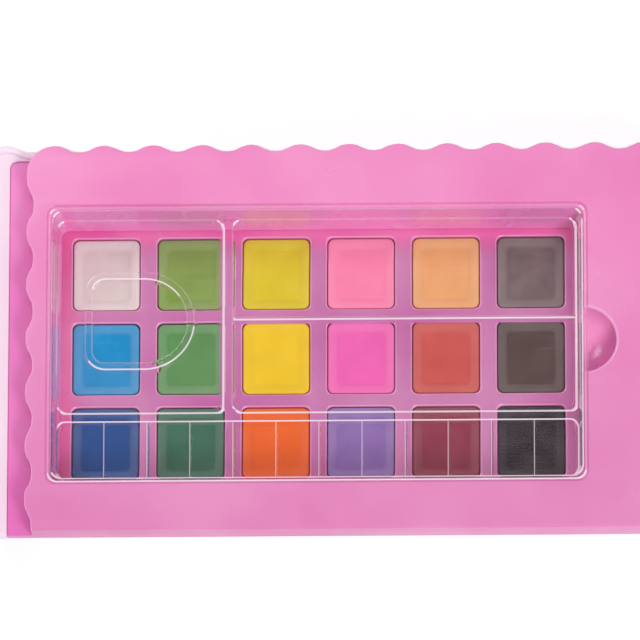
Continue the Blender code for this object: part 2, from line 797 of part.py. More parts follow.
def build_palette(finish):
    rim = palette_box()
    web = PLATEAU_TOP - WEB_FALL
    floor = web - POCKET_DEPTH
    bottom = floor - PALETTE_FLOOR
    bead = PLATEAU_TOP - BEAD_HEIGHT
    foot_inset = REBATE_WIDTH + (bead - bottom) * WALL_SLOPE
    origin = ((rim[0] + rim[1]) / 2, (rim[2] + rim[3]) / 2, bottom)
    palette = solid(
        "palette",
        [
            [
                (rounded(rim, RECESS_CORNER, foot_inset), bottom),
                (rounded(rim, RECESS_CORNER, REBATE_WIDTH), bead),
                (rounded(rim, RECESS_CORNER), bead),
                (rounded(rim, RECESS_CORNER), PLATEAU_TOP),
            ]
        ],
        finish,
        origin,
    )
    top_inset = REBATE_WIDTH + PALETTE_WALL
    web_inset = top_inset + PALETTE_SIDE_DRAFT
    side_slope = PALETTE_SIDE_DRAFT / WEB_FALL
    tray = solid(
        "palette_tray",
        [
            [
                (rounded(rim, POCKET_CORNER + web_inset, web_inset), web),
                (
                    rounded(rim, POCKET_CORNER + web_inset, top_inset - side_slope * OVERRUN),
                    PLATEAU_TOP + OVERRUN,
                ),
            ]
        ],
    )
    left, right = rim[0] + web_inset, rim[1] - web_inset
    near, far = rim[2] + web_inset, rim[3] - web_inset
    strip_far = near + CELL_STRIP_DEPTH
    pocket_near = strip_far + POCKET_DIVIDER
    split = left + THUMB_LEFT_SET + THUMB_LENGTH + THUMB_RIGHT_SET
    ridge = far - RIDGE_FROM_FAR
    pockets = [
        (left, split, pocket_near, far),
        (split + POCKET_DIVIDER, right, pocket_near, ridge - RIDGE_WIDTH / 2),
        (split + POCKET_DIVIDER, right, ridge + RIDGE_WIDTH / 2, far),
    ]
    cuts = [pocket_sections(box, POCKET_CORNER, POCKET_DRAFT, floor, web) for box in pockets]
    edge_count = round((right - left - FIRST_CELL_LENGTH) / CELL_PITCH)
    edges = [left + FIRST_CELL_LENGTH + k * CELL_PITCH for k in range(edge_count)]
    starts = [left] + [edge + CELL_DIVIDER / 2 for edge in edges]
    ends = [edge - CELL_DIVIDER / 2 for edge in edges] + [right]
    cuts += [
        pocket_sections((start, end, near, strip_far), CELL_CORNER, CELL_DRAFT, floor, web)
        for start, end in zip(starts, ends)
    ]
    lip_left, lip_far = left + THUMB_LEFT_SET, far - THUMB_FAR_SET + THUMB_WIDTH / 2
    lip = solid(
        "thumb_lip",
        [
            [
                (thumb_outline(lip_left, lip_far, THUMB_LIP + POCKET_DRAFT / 2), bottom + PALETTE_FLOOR / 2),
                (thumb_outline(lip_left, lip_far, THUMB_LIP), web),
            ]
        ],
    )
    hole = solid(
        "thumb_hole",
        [
            [
                (thumb_outline(lip_left, lip_far, 0.0), bottom - OVERRUN),
                (thumb_outline(lip_left, lip_far, 0.0), web + OVERRUN),
            ]
        ],
    )
    cut(palette, tray, solid("palette_pockets", cuts))
    join(palette, lip)
    cut(palette, hole)
    return palette


def build_lid(finish):
    near = NEAR - LID_NEAR_LAP
    origin = (HINGE_X, 0.0, HINGE_Z)
    straight = RIM_CLOSED + LID_STRAIGHT
    outer = [(case_outline(0.0, near), RIM_CLOSED), (case_outline(0.0, near), straight)]
    inner = [
        (case_outline(LID_WALL, near), RIM_CLOSED - OVERRUN),
        (case_outline(LID_WALL, near), straight),
    ]
    for inset, share in zip(LID_SHOULDER_INSETS, LID_SHOULDER_FALL_SHARES):
        z = LID_TOP_CLOSED - share * LID_HEIGHT
        outer.append((case_outline(inset, near), z))
        inner.append((case_outline(inset + LID_WALL, near), z - LID_TOP))
    lid = solid("lid", [outer], finish, origin)
    cut(lid, solid("lid_inside", [inner]))
    for place, middle in zip(("far", "near"), hinge_middles()):
        y_low, y_high = knuckle_spans(middle)[1]
        arm = solid(
            f"lid_arm_{place}",
            [
                box_sections(
                    HINGE_X,
                    -HALF_CASE + ARM_LAP,
                    y_low,
                    y_high,
                    HINGE_Z + ARM_BELOW_AXIS,
                    HINGE_Z + KNUCKLE_RADIUS,
                )
            ],
        )
        barrel = rod(f"lid_knuckle_{place}", HINGE_X, y_low, y_high, HINGE_Z, KNUCKLE_RADIUS)
        bore = rod(
            f"lid_bore_{place}", HINGE_X, y_low - OVERRUN, y_high + OVERRUN, HINGE_Z, PIN_RADIUS + GAP
        )
        join(lid, barrel, arm)
        cut(lid, bore)
    catch_half = CLASP_LENGTH / 2 - CATCH_INDENT
    catch = solid(
        "lid_catch",
        [
            box_sections(
                HALF_CASE - LID_WALL / 2,
                CATCH_EDGE,
                CLASP_Y - catch_half,
                CLASP_Y + catch_half,
                CATCH_BOTTOM,
                CATCH_BOTTOM + CATCH_HEIGHT,
            )
        ],
    )
    join(lid, catch)
    lid.rotation_euler.y = -LID_OPEN_ANGLE
    return lid


def build_clasp(finish):
    origin = (CLASP_X, CLASP_Y, CLASP_Z)
    y_low, y_high = CLASP_Y - CLASP_LENGTH / 2, CLASP_Y + CLASP_LENGTH / 2
    clasp = rod(
        "clasp", CLASP_X, y_low, y_high, CLASP_Z, CLASP_BARREL_RADIUS, finish, origin
    )
    inner_face = CATCH_EDGE + GAP
    outer_face = inner_face + CLASP_THICKNESS
    grip_face = outer_face + GRIP_FLARE
    plate = solid(
        "clasp_plate", [box_sections(inner_face, outer_face, y_low, y_high, CLASP_Z, CLASP_TOP)]
    )
    tooth_span = (y_low + CATCH_INDENT, y_high - CATCH_INDENT, TOOTH_BOTTOM, TOOTH_BOTTOM + TOOTH_HEIGHT)
    tooth = solid("clasp_tooth", [box_sections(inner_face - TOOTH_REACH, outer_face, *tooth_span)])
    grip_bottom = CLASP_TOP - GRIP_HEIGHT
    grip = solid(
        "clasp_grip", [box_sections(inner_face, grip_face, y_low, y_high, grip_bottom, CLASP_TOP)]
    )
    bore = rod(
        "clasp_bore",
        CLASP_X,
        y_low - OVERRUN,
        y_high + OVERRUN,
        CLASP_Z,
        CLASP_PIN_RADIUS + GAP,
    )
    join(clasp, plate, tooth, grip)
    cut(clasp, bore)
    clasp.rotation_euler.y = CLASP_OPEN_ANGLE
    return clasp


def build_pins(finish):
    for place, middle in zip(("far", "near"), hinge_middles()):
        near_span, _, far_span = knuckle_spans(middle)
        rod(f"hinge_pin_{place}", HINGE_X, near_span[0], far_span[1], HINGE_Z, PIN_RADIUS, finish)
    half = CLASP_LENGTH / 2 + GAP + CLASP_EAR
    rod(
        "clasp_pin", CLASP_X, CLASP_Y - half, CLASP_Y + half, CLASP_Z, CLASP_PIN_RADIUS, finish
    )


def main():
    clear_scene()
    frosted = material("frosted_shell", (0.93, 0.68, 0.80), 0.35)
    pink = material("pink_sheet", (0.90, 0.24, 0.55), 0.3)
    build_case_base(frosted)
    build_insert_panel(pink)
    build_pan_tray(material("purple_pink_tray", (0.60, 0.18, 0.45), 0.4))
    build_cakes()
    build_palette(material("clear_plastic", (0.95, 0.93, 0.95), 0.05, transmission=0.9))
    build_lid(frosted)
    build_clasp(frosted)
    build_pins(material("steel_pin", (0.60, 0.60, 0.62), 0.3, metallic=1.0))


main()
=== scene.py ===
import bmesh
import bpy
import math
from mathutils import Matrix, Vector


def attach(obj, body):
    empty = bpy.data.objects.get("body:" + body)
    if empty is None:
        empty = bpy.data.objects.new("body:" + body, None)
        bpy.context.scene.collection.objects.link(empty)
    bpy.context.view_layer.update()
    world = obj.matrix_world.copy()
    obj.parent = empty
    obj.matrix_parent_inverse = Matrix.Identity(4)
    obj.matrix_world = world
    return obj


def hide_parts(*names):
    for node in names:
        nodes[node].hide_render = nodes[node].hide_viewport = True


# An open watercolour case: a formed pink panel in a milky scalloped shell, 18 paint cakes under a
# clear palette, and the lid laid open to the left. Metres, +X right, +Y away, +Z up.
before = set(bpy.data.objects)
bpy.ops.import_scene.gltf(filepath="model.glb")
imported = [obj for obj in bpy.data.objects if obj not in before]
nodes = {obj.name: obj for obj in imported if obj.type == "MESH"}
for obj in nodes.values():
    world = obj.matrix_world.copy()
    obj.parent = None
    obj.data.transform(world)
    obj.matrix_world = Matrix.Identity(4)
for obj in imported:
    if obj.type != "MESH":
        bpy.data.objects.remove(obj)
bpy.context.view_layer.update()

# Camera, lamps and floor

view = {
    "target": (-0.00725, 0.0036, 0.021),  # what the middle of the picture looks at
    "distance": 2.6667,
    "lens": 600.0,
    "sensor": 36.0,
    "frontTilt": 16.0,  # degrees from straight down, towards the painter
    "rightTilt": 1.75,
    "roll": 0.4,  # the right side stands higher
    "clip": (0.1, 20.0),
}


def makeCamera():
    rightward = math.tan(math.radians(view["rightTilt"]))
    nearward = math.tan(math.radians(view["frontTilt"]))
    back = Vector((rightward, -nearward, 1)).normalized()
    right = (Vector((1, 0, 0)) - back * back.x).normalized()
    up = back.cross(right)
    turn = Matrix.Rotation(math.radians(-view["roll"]), 3, back)
    right, up = turn @ right, turn @ up
    data = bpy.data.cameras.new("camera")
    data.type = "PERSP"
    data.lens = view["lens"]
    data.sensor_width = view["sensor"]
    data.clip_start, data.clip_end = view["clip"]
    camera = bpy.data.objects.new("camera", data)
    bpy.context.scene.collection.objects.link(camera)
    stand = Vector(view["target"]) + back * view["distance"]
    axes = Matrix((right, up, back)).transposed().to_4x4()
    camera.matrix_world = Matrix.Translation(stand) @ axes
    bpy.context.scene.camera = camera


light = {
    "world": 0.565,
    "keyPower": 1.4,
    "keyPlace": (-0.33, 0.38, 0.60),  # near enough for the far left to be a little brighter
    "keySize": 0.26,
    "fillPower": 3.95,
    "fillPlace": (0.42, -0.62, 0.75),
    "fillSize": 0.3,
}


def makeLamp(name, power, stand, size):
    data = bpy.data.lights.new(name, "AREA")
    data.energy = power
    data.shape = "SQUARE"
    data.size = size
    lamp = bpy.data.objects.new(name, data)
    bpy.context.scene.collection.objects.link(lamp)
    lamp.location = stand
    lamp.rotation_euler = (-Vector(stand)).to_track_quat("-Z", "Y").to_euler()
    lamp.visible_camera = False


def makeWorld():
    world = bpy.data.worlds.new("studio")
    world.use_nodes = True
    bpy.context.scene.world = world
    tree = world.node_tree
    shade = tree.nodes["Background"]
    level = spread(tree, shownRays(tree), 0.0, 1.0, light["world"], 1.0)
    tree.links.new(level, shade.inputs["Strength"])
    shade.inputs["Color"].default_value = (1, 1, 1, 1)


makeCamera()
makeLamp("key", light["keyPower"], light["keyPlace"], light["keySize"])
makeLamp("fill", light["fillPower"], light["fillPlace"], light["fillSize"])
bpy.context.scene.view_settings.view_transform = "Standard"
print("camera and lamps set")


def shownRays(tree):
    # 1 for rays that show the background: straight ones, and those off or through a piece
    path = addNode(tree, "LightPath")
    glossy, through = path.outputs["Is Glossy Ray"], path.outputs["Is Transmission Ray"]
    shiny = sums(tree, "MAXIMUM", glossy, through)
    return sums(tree, "MAXIMUM", path.outputs["Is Camera Ray"], shiny)


def newMaterial(name):
    made = bpy.data.materials.new(name)
    made.use_nodes = True
    return made, made.node_tree, made.node_tree.nodes["Principled BSDF"]


floorLook = {"size": 6.0, "colour": (0.9, 0.9, 0.9), "roughness": 0.9, "lift": 0.32}


def makeFloor():
    clearPick()
    bpy.ops.mesh.primitive_plane_add(size=floorLook["size"], location=(0, 0, 0))
    floor = bpy.context.object
    floor.name = "floor"
    made, tree, shader = newMaterial("floorPaper")
    shader.inputs["Base Color"].default_value = (*floorLook["colour"], 1)
    shader.inputs["Roughness"].default_value = floorLook["roughness"]
    shader.inputs["Emission Color"].default_value = (1, 1, 1, 1)
    lift = sums(tree, "MULTIPLY", shownRays(tree), floorLook["lift"])
    tree.links.new(lift, shader.inputs["Emission Strength"])
    floor.data.materials.append(made)


# Ways of working that every piece shares


def clearPick():
    if bpy.context.mode != "OBJECT":
        bpy.ops.object.mode_set(mode="OBJECT")
    bpy.ops.object.select_all(action="DESELECT")


def holdPiece(piece):
    clearPick()
    piece.select_set(True)
    bpy.context.view_layer.objects.active = piece


def openPiece(piece):
    holdPiece(piece)
    bpy.ops.object.mode_set(mode="EDIT")


def applyLast(piece):
    bpy.ops.object.modifier_apply(modifier=piece.modifiers[-1].name)


def smoothPiece(degrees):
    bpy.ops.object.shade_smooth_by_angle(angle=math.radians(degrees))


def copyPiece(piece):
    holdPiece(piece)
    bpy.ops.object.duplicate()
    return bpy.context.object


def movedCopy(piece, move):
    copy = copyPiece(piece)
    openPiece(copy)
    bpy.ops.mesh.select_all(action="SELECT")
    bpy.ops.transform.translate(value=(*move, 0))
    clearPick()
    return copy


def pickAllFaces():
    bpy.ops.mesh.select_mode(type="FACE")
    bpy.ops.mesh.select_all(action="SELECT")


def pick(kind, test):
    # kind is VERT, EDGE or FACE; test is given the item's middle and the item
    bpy.ops.mesh.select_mode(type=kind)
    bpy.ops.mesh.select_all(action="DESELECT")
    mesh = bmesh.from_edit_mesh(bpy.context.object.data)
    count = 0
    for item in {"VERT": mesh.verts, "EDGE": mesh.edges, "FACE": mesh.faces}[kind]:
        corners = [item] if kind == "VERT" else item.verts
        middle = sum((v.co for v in corners), Vector()) / len(corners)
        if test(middle, item):
            item.select_set(True)
            count += 1
    bmesh.update_edit_mesh(bpy.context.object.data)
    return count


def middleOf(box):
    return ((box[0] + box[1]) / 2, (box[2] + box[3]) / 2)


def addPlate(name, box, z):
    # a flat face over box (x low, x high, y low, y high), left open for edits
    clearPick()
    bpy.ops.mesh.primitive_plane_add(size=1, location=(0, 0, 0))
    piece = bpy.context.object
    piece.name = name
    bpy.ops.object.mode_set(mode="EDIT")
    bpy.ops.transform.resize(value=(box[1] - box[0], box[3] - box[2], 1))
    bpy.ops.transform.translate(value=(*middleOf(box), z))
    return piece


def shrunk(box, inset):
    return (box[0] + inset, box[1] - inset, box[2] + inset, box[3] - inset)


def quarter(steps):
    return [math.radians(90 * i / steps) for i in range(steps + 1)]


def within(point, box):
    return box[0] < point.x < box[1] and box[2] < point.y < box[3]


def roundOff(z0, in0, z1, in1, steps=4):
    # quarter round that starts upright and ends flat
    return [
        (z0 + (z1 - z0) * math.sin(a), in0 + (in1 - in0) * (1 - math.cos(a)))
        for a in quarter(steps)
    ]


def roundUp(z0, in0, z1, in1, steps=4):
    # quarter round that starts flat and ends upright
    return [
        (z0 + (z1 - z0) * (1 - math.cos(a)), in0 + (in1 - in0) * math.sin(a))
        for a in quarter(steps)
    ]


def raiseFaces(rise):
    bpy.ops.mesh.extrude_region_move(TRANSFORM_OT_translate={"value": (0, 0, rise)})


def raiseLevels(box, levels):
    # extrudes the picked face from level to level, each (z, inset from box)
    long, deep = box[1] - box[0], box[3] - box[2]
    for (z, inset), (nextZ, nextInset) in zip(levels, levels[1:]):
        raiseFaces(nextZ - z)
        scale = (
            (long - 2 * nextInset) / (long - 2 * inset),
            (deep - 2 * nextInset) / (deep - 2 * inset),
            1,
        )
        bpy.ops.transform.resize(value=scale, center_override=(*middleOf(box), nextZ))


def closePiece(piece):
    pickAllFaces()
    bpy.ops.mesh.normals_make_consistent(inside=False)
    holdPiece(piece)
    return piece


def roundedBlock(name, box, corner, levels, segments=8):
    z, inset = levels[0]
    piece = addPlate(name, shrunk(box, inset), z)
    bpy.ops.mesh.bevel(offset=corner, segments=segments, affect="VERTICES")
    pickAllFaces()
    raiseLevels(box, levels)
    return closePiece(piece)


def joinPieces(first, *others):
    clearPick()
    for piece in (first, *others):
        piece.select_set(True)
    bpy.context.view_layer.objects.active = first
    bpy.ops.object.join()
    return first


def carve(piece, tool, how="DIFFERENCE"):
    # cuts the tool out of the piece, or adds it, and clears the tool away
    holdPiece(piece)
    bpy.ops.object.modifier_add(type="BOOLEAN")
    step = piece.modifiers[-1]
    step.operation = how
    step.solver = "EXACT"
    step.object = tool
    applyLast(piece)
    bpy.data.objects.remove(tool)


def giveFaces(piece, material, test):
    # puts a second finish on the faces that test picks
    piece.data.materials.append(material)
    openPiece(piece)
    count = pick("FACE", test)
    piece.active_material_index = len(piece.data.materials) - 1
    if count:
        bpy.ops.object.material_slot_assign()
    holdPiece(piece)


def finish(piece, name, material, nodeNames, body):
    piece.name = name
    piece.data.name = name
    piece.data.materials.clear()
    piece.data.materials.append(material)
    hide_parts(*nodeNames)
    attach(piece, body)
    print("made", name, len(piece.data.polygons), "faces")


# Finishes


def newGroup(name, sockets):
    # sockets: (name, "in" or "out", "Color", "Float" or "Vector", starting value)
    group = bpy.data.node_groups.new(name, "ShaderNodeTree")
    for socketName, side, kind, value in sockets:
        side = {"in": "INPUT", "out": "OUTPUT"}[side]
        made = group.interface.new_socket(
            socketName, in_out=side, socket_type="NodeSocket" + kind
        )
        if value is not None:
            made.default_value = value
    return group, group.nodes.new("NodeGroupInput"), group.nodes.new("NodeGroupOutput")


def addNode(tree, kind, **values):
    made = tree.nodes.new("ShaderNode" + kind)
    for key, value in values.items():
        setattr(made, key, value)
    return made


def noise(tree, place, scale, detail=3.0, roughness=0.5):
    made = addNode(tree, "TexNoise")
    made.inputs["Detail"].default_value = detail
    made.inputs["Roughness"].default_value = roughness
    if isinstance(scale, (int, float)):
        made.inputs["Scale"].default_value = scale
    else:
        tree.links.new(scale, made.inputs["Scale"])
    tree.links.new(place, made.inputs["Vector"])
    return made.outputs["Fac"]


def sums(tree, operation, first, second, third=None):
    made = addNode(tree, "Math", operation=operation)
    for index, value in enumerate((first, second, third)):
        if value is None:
            continue
        if isinstance(value, (int, float)):
            made.inputs[index].default_value = value
        else:
            tree.links.new(value, made.inputs[index])
    return made.outputs[0]


def spread(tree, value, low, high, toLow, toHigh):
    made = addNode(tree, "MapRange")
    tree.links.new(value, made.inputs["Value"])
    ends = {"From Min": low, "From Max": high, "To Min": toLow, "To Max": toHigh}
    for key, amount in ends.items():
        made.inputs[key].default_value = amount
    return made.outputs["Result"]


def blend(tree, amount, first, second, mode="MIX"):
    made = addNode(tree, "Mix", data_type="RGBA", blend_type=mode)
    for key, value in ((0, amount), (6, first), (7, second)):
        if isinstance(value, (int, float, tuple)):
            made.inputs[key].default_value = value
        else:
            tree.links.new(value, made.inputs[key])
    return made.outputs[2]


def makeMouldedSkin():
    # moulded or formed plastic: slow tint drift, fine orange peel, uneven gloss
    group, entry, out = newGroup(
        "mouldedSkin",
        (
            ("Colour", "in", "Color", (0.8, 0.8, 0.8, 1)),
            ("Drift", "in", "Float", 0.06),
            ("Gloss", "in", "Float", 0.35),
            ("Peel", "in", "Float", 700.0),
            ("Colour", "out", "Color", None),
            ("Roughness", "out", "Float", None),
            ("Height", "out", "Float", None),
        ),
    )
    place = addNode(group, "TexCoord").outputs["Object"]
    slow = noise(group, place, 38.0, 2.0)
    fine = noise(group, place, 2600.0, 2.0)
    dark = blend(group, 1.0, entry.outputs["Colour"], (0.80, 0.74, 0.80, 1), "MULTIPLY")
    pale = blend(group, 0.30, entry.outputs["Colour"], (1.0, 0.93, 0.98, 1))
    tone = blend(group, spread(group, slow, 0.3, 0.7, 0.0, 1.0), dark, pale)
    drifted = blend(group, entry.outputs["Drift"], entry.outputs["Colour"], tone)
    speck = spread(group, fine, 0.62, 0.72, 0.0, 0.05)
    group.links.new(blend(group, speck, drifted, pale), out.inputs["Colour"])
    smear = noise(group, place, 90.0, 4.0, 0.6)
    uneven = spread(group, smear, 0.3, 0.7, -0.06, 0.07)
    rough = sums(group, "ADD", entry.outputs["Gloss"], uneven)
    group.links.new(rough, out.inputs["Roughness"])
    peel = noise(group, place, entry.outputs["Peel"], 2.0)
    group.links.new(sums(group, "MULTIPLY_ADD", fine, 0.25, peel), out.inputs["Height"])
    return group


def makeHandling():
    # dust grains and fine hair scratches from use
    group, entry, out = newGroup(
        "handling",
        (
            ("Amount", "in", "Float", 0.5),
            ("Dust", "out", "Float", None),
            ("Scratch", "out", "Float", None),
        ),
    )
    place = addNode(group, "TexCoord").outputs["Object"]
    grains = addNode(group, "TexVoronoi", feature="F1")
    grains.inputs["Scale"].default_value = 420.0
    group.links.new(place, grains.inputs["Vector"])
    patch = noise(group, place, 55.0, 3.0)
    dots = spread(group, grains.outputs["Distance"], 0.05, 0.12, 1.0, 0.0)
    dust = sums(group, "MULTIPLY", dots, spread(group, patch, 0.5, 0.72, 0.0, 1.0))
    group.links.new(sums(group, "MULTIPLY", dust, entry.outputs["Amount"]), out.inputs["Dust"])
    turned = addNode(group, "Mapping")
    turned.inputs["Rotation"].default_value = (0, 0, 0.5)
    turned.inputs["Scale"].default_value = (60, 2600, 60)
    group.links.new(place, turned.inputs["Vector"])
    hair = spread(group, noise(group, turned.outputs[0], 1.0, 2.0), 0.66, 0.72, 0.0, 1.0)
    broken = sums(group, "MULTIPLY", hair, spread(group, patch, 0.45, 0.6, 0.0, 1.0))
    group.links.new(sums(group, "MULTIPLY", broken, entry.outputs["Amount"]), out.inputs["Scratch"])
    return group


def makePressedPaint():
    # pressed pigment: soft clouds, faint drag streaks, chalky grains, and a painted highlight on
    # the raised rim
    group, entry, out = newGroup(
        "pressedPaint",
        (
            ("Colour", "in", "Color", (0.5, 0.5, 0.5, 1)),
            ("Mottle", "in", "Float", 0.4),
            ("Rubbed", "in", "Float", 0.35),
            ("Colour", "out", "Color", None),
            ("Roughness", "out", "Float", None),
            ("Height", "out", "Float", None),
        ),
    )
    place = addNode(group, "TexCoord").outputs["Object"]
    cloud = noise(group, place, 170.0, 4.0, 0.6)
    dragged = addNode(group, "Mapping")
    dragged.inputs["Rotation"].default_value = (0, 0, 0.12)
    dragged.inputs["Scale"].default_value = (70, 900, 200)
    group.links.new(place, dragged.inputs["Vector"])
    drag = noise(group, dragged.outputs[0], 1.0, 3.0)
    grain = noise(group, place, 2400.0, 3.0, 0.65)
    deep = blend(group, 1.0, entry.outputs["Colour"], (0.70, 0.68, 0.70, 1), "MULTIPLY")
    chalk = blend(group, 0.20, entry.outputs["Colour"], (1.0, 0.97, 0.95, 1))
    pale = blend(group, 0.04, entry.outputs["Colour"], (1.0, 0.97, 0.95, 1))
    tone = blend(group, spread(group, cloud, 0.32, 0.68, 0.0, 1.0), deep, pale)
    clouded = blend(group, entry.outputs["Mottle"], entry.outputs["Colour"], tone)
    streaked = blend(group, spread(group, drag, 0.58, 0.78, 0.0, 0.18), clouded, chalk)
    specked = blend(group, spread(group, grain, 0.66, 0.74, 0.0, 0.15), streaked, chalk)
    parts = addNode(group, "SeparateXYZ")
    group.links.new(place, parts.inputs[0])
    raised = spread(group, parts.outputs["Z"], 0.00505, 0.0055, 0.0, 1.0)  # metres: dish, rim
    # painted highlight: the raised rim is lightened towards chalk
    rim = sums(group, "MULTIPLY", raised, entry.outputs["Rubbed"])
    group.links.new(blend(group, rim, specked, chalk), out.inputs["Colour"])
    group.links.new(spread(group, cloud, 0.3, 0.7, 0.66, 0.5), out.inputs["Roughness"])
    height = sums(group, "MULTIPLY_ADD", drag, 0.35, grain)
    group.links.new(height, out.inputs["Height"])
    return group


def makeSlowTint():
    # one colour passes slowly into another along a direction, to paint light and shade across a
    # piece
    group, entry, out = newGroup(
        "slowTint",
        (
            ("Colour", "in", "Color", (0.8, 0.8, 0.8, 1)),
            ("Second", "in", "Color", (0.8, 0.8, 0.8, 1)),
            ("Direction", "in", "Vector", (0, 1, 0)),
            ("Start", "in", "Float", 0.0),
            ("End", "in", "Float", 1.0),
            ("Colour", "out", "Color", None),
        ),
    )
    along = addNode(group, "VectorMath", operation="DOT_PRODUCT")
    group.links.new(addNode(group, "TexCoord").outputs["Object"], along.inputs[0])
    group.links.new(entry.outputs["Direction"], along.inputs[1])
    amount = addNode(group, "MapRange", interpolation_type="SMOOTHSTEP")
    group.links.new(along.outputs["Value"], amount.inputs["Value"])
    group.links.new(entry.outputs["Start"], amount.inputs["From Min"])
    group.links.new(entry.outputs["End"], amount.inputs["From Max"])
    first, second = entry.outputs["Colour"], entry.outputs["Second"]
    group.links.new(blend(group, amount.outputs["Result"], first, second), out.inputs["Colour"])
    return group


mouldedSkin, handling, pressedPaint = makeMouldedSkin(), makeHandling(), makePressedPaint()
slowTint = makeSlowTint()


def useGroup(tree, group, **values):
    made = tree.nodes.new("ShaderNodeGroup")
    made.node_tree = group
    for key, value in values.items():
        made.inputs[key].default_value = value
    return made


def bump(tree, shader, height, strength, distance):
    made = addNode(tree, "Bump")
    made.inputs["Strength"].default_value = strength
    made.inputs["Distance"].default_value = distance
    tree.links.new(height, made.inputs["Height"])
    tree.links.new(made.outputs["Normal"], shader.inputs["Normal"])


def mouldedPlastic(name, look):
    made, tree, shader = newMaterial(name)
    plain = (*look["colour"], 1)
    skin = useGroup(
        tree, mouldedSkin, Colour=plain, Drift=look["drift"], Gloss=look["gloss"], Peel=look["peel"]
    )
    # painted light and shade, laid over the colour as slow ramps
    for direction, start, end, second in look.get("paintedLightTints", ()):
        tint = useGroup(tree, slowTint, Colour=plain, Second=(*second, 1))
        for key, value in (("Direction", direction), ("Start", start), ("End", end)):
            tint.inputs[key].default_value = value
        if skin.inputs["Colour"].is_linked:
            tree.links.new(skin.inputs["Colour"].links[0].from_socket, tint.inputs["Colour"])
        tree.links.new(tint.outputs["Colour"], skin.inputs["Colour"])
    wear = useGroup(tree, handling, Amount=look["wear"])
    dusty = blend(tree, wear.outputs["Dust"], skin.outputs["Colour"], (0.86, 0.82, 0.84, 1))
    tree.links.new(dusty, shader.inputs["Base Color"])
    scuff = sums(tree, "MULTIPLY", wear.outputs["Scratch"], 0.2)
    rough = sums(tree, "ADD", skin.outputs["Roughness"], scuff)
    tree.links.new(rough, shader.inputs["Roughness"])
    height = sums(tree, "MULTIPLY_ADD", wear.outputs["Scratch"], -0.4, skin.outputs["Height"])
    bump(tree, shader, height, look["bump"], 0.00002)
    shader.inputs["Subsurface Weight"].default_value = look["depth"]
    shader.inputs["Subsurface Radius"].default_value = look["reach"]
    shader.inputs["Subsurface Scale"].default_value = 0.002
    shader.inputs["Specular IOR Level"].default_value = 0.5
    return made


pinkReach = (1.0, 0.5, 0.7)  # how far red, green and blue light go inside the pink plastic
plastics = {
    "pinkSheet": {
        "colour": (0.80, 0.215, 0.505), "drift": 0.25, "gloss": 0.33, "peel": 520.0,
        "wear": 0.25, "bump": 0.25, "depth": 0.12, "reach": pinkReach,
        # painted light: coloured paler towards the far side, as if lit more brightly there
        "paintedLightTints": (((0, 1, 0), -0.045, 0.046, (0.93, 0.24, 0.56)),),
    },
    "milkyShell": {
        "colour": (1.0, 0.79, 0.925), "drift": 0.3, "gloss": 0.36, "peel": 420.0,
        "wear": 0.3, "bump": 0.3, "depth": 0.3, "reach": (1.6, 1.0, 1.3),
    },
    "pinkTray": {
        "colour": (0.545, 0.112, 0.365), "drift": 0.4, "gloss": 0.4, "peel": 640.0,
        "wear": 0.3, "bump": 0.3, "depth": 0.08, "reach": pinkReach,
        "paintedLightTints": (
            # painted bounce light: the tray is coloured redder and brighter near the recess's far
            # and left walls
            ((0, 1, 0), 0.024, 0.0305, (0.95, 0.11, 0.46)),  # redder beside the recess's walls
            ((-1, 0, 0), 0.0655, 0.0735, (0.85, 0.11, 0.38)),
        ),
    },
    "pinkStrip": {
        "colour": (0.86, 0.175, 0.56), "drift": 0.35, "gloss": 0.33, "peel": 520.0,
        "wear": 0.25, "bump": 0.25, "depth": 0.12, "reach": pinkReach,
    },
    # painted highlight: a paler, glossier pink for the rounded edges of the field and the notch rim
    "pinkRimHighlight": {
        "colour": (0.96, 0.40, 0.70), "drift": 0.2, "gloss": 0.18, "peel": 520.0,
        "wear": 0.1, "bump": 0.15, "depth": 0.2, "reach": pinkReach,
    },
    # painted light: the recess walls are the same sheet coloured a brighter pink, as if lit through
    "pinkWallLit": {
        "colour": (1.0, 0.28, 0.67), "drift": 0.3, "gloss": 0.25, "peel": 520.0,
        "wear": 0.2, "bump": 0.2, "depth": 0.2, "reach": pinkReach,
    },
    "pinkBowlShaded": {
        "colour": (0.95, 0.26, 0.58), "drift": 0.25, "gloss": 0.3, "peel": 520.0,
        "wear": 0.2, "bump": 0.2, "depth": 0.15, "reach": pinkReach,
        # painted shade: darker towards the near right of the bowl
        "paintedLightTints": (((0.6, -0.8, 0), 0.0355, 0.0405, (0.66, 0.115, 0.37)),),
    },
    # painted highlight: a lighter pink for the rounded edges of the wells
    "trayRimHighlight": {
        "colour": (0.86, 0.32, 0.60), "drift": 0.3, "gloss": 0.3, "peel": 640.0,
        "wear": 0.2, "bump": 0.2, "depth": 0.1, "reach": pinkReach,
    },
}
moulded = {name: mouldedPlastic(name, look) for name, look in plastics.items()}

clearLook = {
    "colour": (0.985, 0.965, 0.98),
    "clear": 0.998,  # the rest is a faint milkiness
    "shine": 0.2,
    # painted highlight: edge faces get a whiter, less clear finish so that they look white, with a
    # full coat for real reflections; the soft finish is a weaker painted highlight
    "highlightColour": (0.99, 0.90, 0.96),
    "highlightClear": 0.2,  # rounded edges gather light and look white
    "edgeShine": 1.0,
    "softClear": 0.86,  # those turned away from the light do so less
    "softShine": 0.6,
    "ior": 1.1,  # kept low, so that what lies under isn't bent far
    "gloss": 0.03,
    "coatIor": 1.5,
    "wear": 0.5,
}


